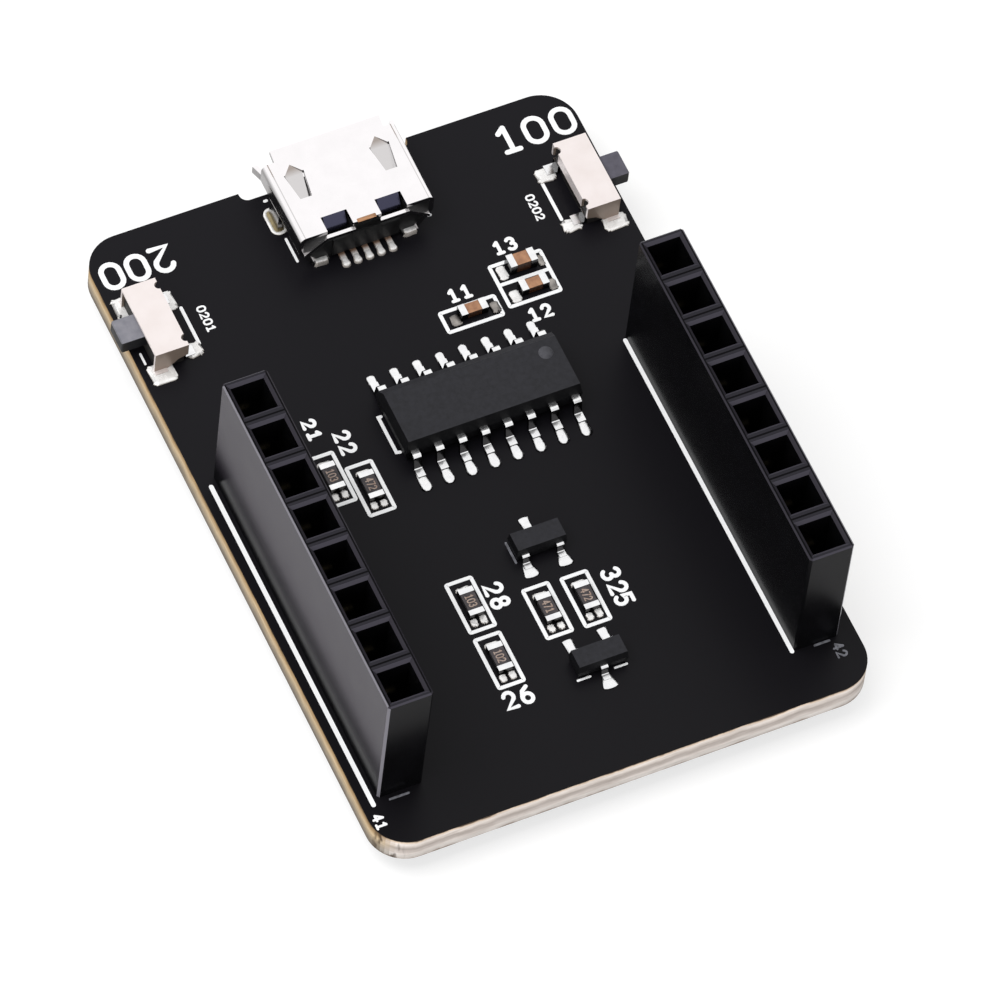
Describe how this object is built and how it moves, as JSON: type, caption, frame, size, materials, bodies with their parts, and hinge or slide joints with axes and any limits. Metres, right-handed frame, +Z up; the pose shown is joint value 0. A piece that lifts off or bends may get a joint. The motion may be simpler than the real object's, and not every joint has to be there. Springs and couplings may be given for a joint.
{
  "type": "camera module base board",
  "caption": "Black circuit board with a micro-USB receptacle, a chip, side-push switches and socket rows that a plug-in camera module stands on.",
  "frame": {"origin": "on the surface it stands on, under the middle of the part's outline; the solder tails touch that surface", "axes": "+Y along the board towards the receptacle, +X to the right seen from above with the receptacle away from the viewer, +Z up out of the sockets"},
  "size_m": [0.0284, 0.0386, 0.0114],
  "materials": {
    "board_laminate": "glossy black solder mask over glass-fibre laminate, pale cut edges",
    "header_plastic": "satin moulded black",
    "contact_metal": "plated spring alloy",
    "solder": "bright solder",
    "switch_base_plastic": "dark moulded",
    "switch_cover_steel": "bright tinned steel",
    "plunger_plastic": "dark grey moulded",
    "spring_steel": "bright spring steel",
    "tinned_metal": "tinned",
    "shell_steel": "bright nickel-plated steel",
    "insulator_plastic": "black moulded",
    "package_plastic": "black moulded resin",
    "resistor_ceramic": "dark glazed face",
    "capacitor_ceramic": "brown ceramic"
  },
  "bodies": {
    "root": {"pcb": "board_laminate", "left_header_housing": "header_plastic", "left_contact_1": "contact_metal", "left_contact_2": "contact_metal", "left_contact_3": "contact_metal", "left_contact_4": "contact_metal", "left_contact_5": "contact_metal", "left_contact_6": "contact_metal", "left_contact_7": "contact_metal", "left_contact_8": "contact_metal", "left_header_solder": "solder", "left_switch_base": "switch_base_plastic", "left_switch_cover": "switch_cover_steel", "left_switch_spring": "spring_steel", "left_switch_terminals": "tinned_metal", "right_header_housing": "header_plastic", "right_contact_1": "contact_metal", "right_contact_2": "contact_metal", "right_contact_3": "contact_metal", "right_contact_4": "contact_metal", "right_contact_5": "contact_metal", "right_contact_6": "contact_metal", "right_contact_7": "contact_metal", "right_contact_8": "contact_metal", "right_header_solder": "solder", "right_switch_base": "switch_base_plastic", "right_switch_cover": "switch_cover_steel", "right_switch_spring": "spring_steel", "right_switch_terminals": "tinned_metal", "usb_shell": "shell_steel", "usb_insulator": "insulator_plastic", "usb_contact_1": "contact_metal", "usb_contact_2": "contact_metal", "usb_contact_3": "contact_metal", "usb_contact_4": "contact_metal", "usb_contact_5": "contact_metal", "chip_body": "package_plastic", "chip_leads": "tinned_metal", "transistor_1_body": "package_plastic", "transistor_1_leads": "tinned_metal", "transistor_2_body": "package_plastic", "transistor_2_leads": "tinned_metal", "resistor_1": "resistor_ceramic", "resistor_2": "resistor_ceramic", "resistor_3": "resistor_ceramic", "resistor_4": "resistor_ceramic", "resistor_5": "resistor_ceramic", "resistor_6": "resistor_ceramic", "resistor_end_caps": "tinned_metal", "capacitor_1": "capacitor_ceramic", "capacitor_2": "capacitor_ceramic", "capacitor_3": "capacitor_ceramic", "capacitor_end_caps": "tinned_metal"},
    "left_plunger": {"left_switch_plunger": "plunger_plastic"},
    "right_plunger": {"right_switch_plunger": "plunger_plastic"}
  },
  "joints": [
    {"name": "left_plunger_press", "type": "slide", "parent": "root", "child": "left_plunger", "axis": [1, 0, 0], "range_m": [0, 0.00025], "stiffness_N_per_m": 6000, "deforming": ["left_switch_spring"]},
    {"name": "right_plunger_press", "type": "slide", "parent": "root", "child": "right_plunger", "axis": [-1, 0, 0], "range_m": [0, 0.00025], "stiffness_N_per_m": 6000, "deforming": ["right_switch_spring"]}
  ]
}
